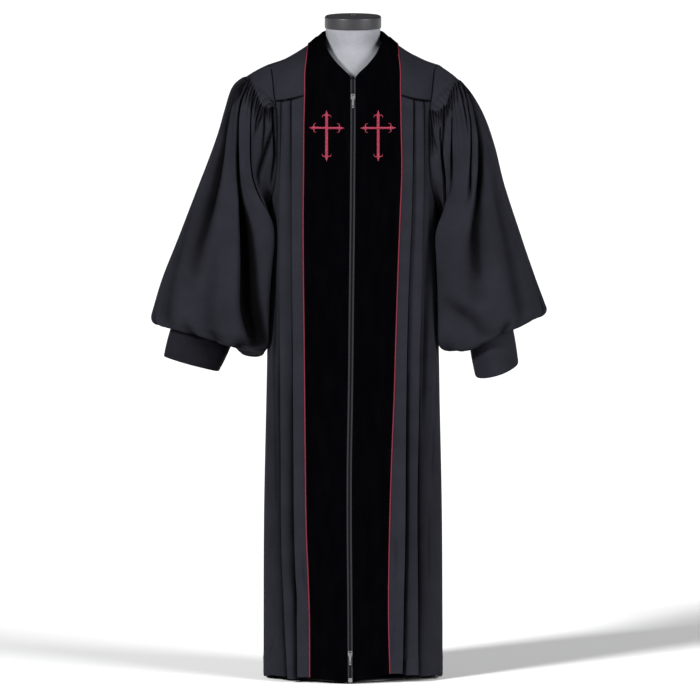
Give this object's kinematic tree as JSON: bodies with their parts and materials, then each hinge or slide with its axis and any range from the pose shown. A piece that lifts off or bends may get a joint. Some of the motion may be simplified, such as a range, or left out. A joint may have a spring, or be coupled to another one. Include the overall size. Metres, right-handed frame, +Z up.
{
  "type": "clergy robe on a dress form",
  "caption": "Full-length clergy robe with bishop sleeves, velvet fronts, piping and a front zip, shown on a limbless dress form and stand.",
  "frame": {"origin": "centre of the stand base's underside, on the floor", "axes": "+Z up, the front of the robe faces -Y, +X is the wearer's left"},
  "size_m": [0.8555, 0.3099, 1.4454],
  "materials": {
    "robe_cloth": "matt fine weave, charcoal black",
    "velvet": "black velvet pile",
    "piping_red": "satin cord, crimson",
    "embroidery_red": "glossy rayon thread",
    "zip_tape": "dark grey woven tape",
    "zip_metal": "dark nickel",
    "form_linen": "grey linen jersey",
    "form_cap": "satin dark grey",
    "stand_metal": "satin black"
  },
  "bodies": {
    "robe": {"robe_front_r": "robe_cloth", "robe_front_l": "robe_cloth", "robe_back": "robe_cloth", "yoke_r": "robe_cloth", "yoke_l": "robe_cloth", "yoke_back": "robe_cloth", "sleeve_r": "robe_cloth", "sleeve_l": "robe_cloth", "cuff_r": "robe_cloth", "cuff_l": "robe_cloth", "velvet_r": "velvet", "velvet_l": "velvet", "velvet_neck": "velvet", "piping_r": "piping_red", "piping_l": "piping_red", "piping_neck": "piping_red", "cross_r": "embroidery_red", "cross_l": "embroidery_red", "zip_tape_r": "zip_tape", "zip_tape_l": "zip_tape", "zip_chain": "zip_tape", "zip_slider_top": "zip_metal", "zip_slider_low": "zip_metal", "zip_box": "zip_metal", "form_torso": "form_linen", "form_cap": "form_cap", "form_cap_stud": "stand_metal", "stand_pole": "stand_metal", "stand_base": "stand_metal"},
    "pull_top": {"zip_pull_top": "zip_metal"},
    "pull_low": {"zip_pull_low": "zip_metal"}
  },
  "joints": [
    {"name": "pull_top_swing", "type": "hinge", "parent": "robe", "child": "pull_top", "pos_m": [0, -0.11586, 1.278], "axis": [-1, 0, 0], "range_deg": [0, 160]},
    {"name": "pull_low_swing", "type": "hinge", "parent": "robe", "child": "pull_low", "pos_m": [-0.00623, -0.15331, 0.069], "axis": [-1, 0, 0], "range_deg": [0, 160]}
  ]
}
